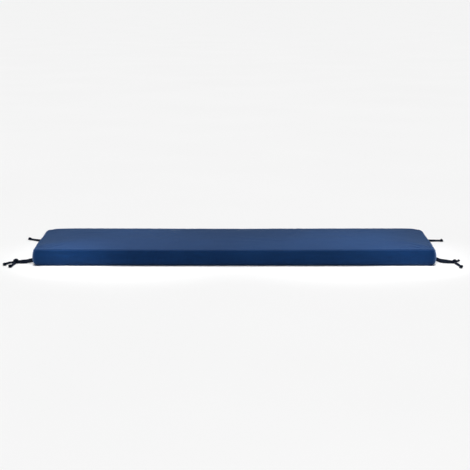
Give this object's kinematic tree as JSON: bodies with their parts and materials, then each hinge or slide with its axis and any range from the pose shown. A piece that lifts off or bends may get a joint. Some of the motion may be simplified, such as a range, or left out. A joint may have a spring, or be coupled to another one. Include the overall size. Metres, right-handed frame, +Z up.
{
  "type": "bench cushion",
  "caption": "Long box-edged bench cushion in plain woven cloth, with a low crown and cloth ties at its corners.",
  "frame": {"origin": "on the floor under the middle of the cushion", "axes": "+X along the cushion's length, to the right as seen from its front; +Y to its back; +Z up out of its top panel"},
  "size_m": [1.7148, 0.6176, 0.0772],
  "materials": {
    "cover": "plain navy blue woven polyester with a slight sheen",
    "ties": "dark navy folded and stitched cloth tape"
  },
  "bodies": {
    "root": {"cushion": "cover", "tie_front_left_strand_a": "ties", "tie_front_left_strand_b": "ties", "tie_front_left_knot": "ties", "tie_front_left_end_a": "ties", "tie_front_left_end_b": "ties", "tie_front_right_strand_a": "ties", "tie_front_right_strand_b": "ties", "tie_front_right_knot": "ties", "tie_front_right_end_a": "ties", "tie_front_right_end_b": "ties", "tie_back_left": "ties", "tie_back_right": "ties"}
  },
  "joints": []
}
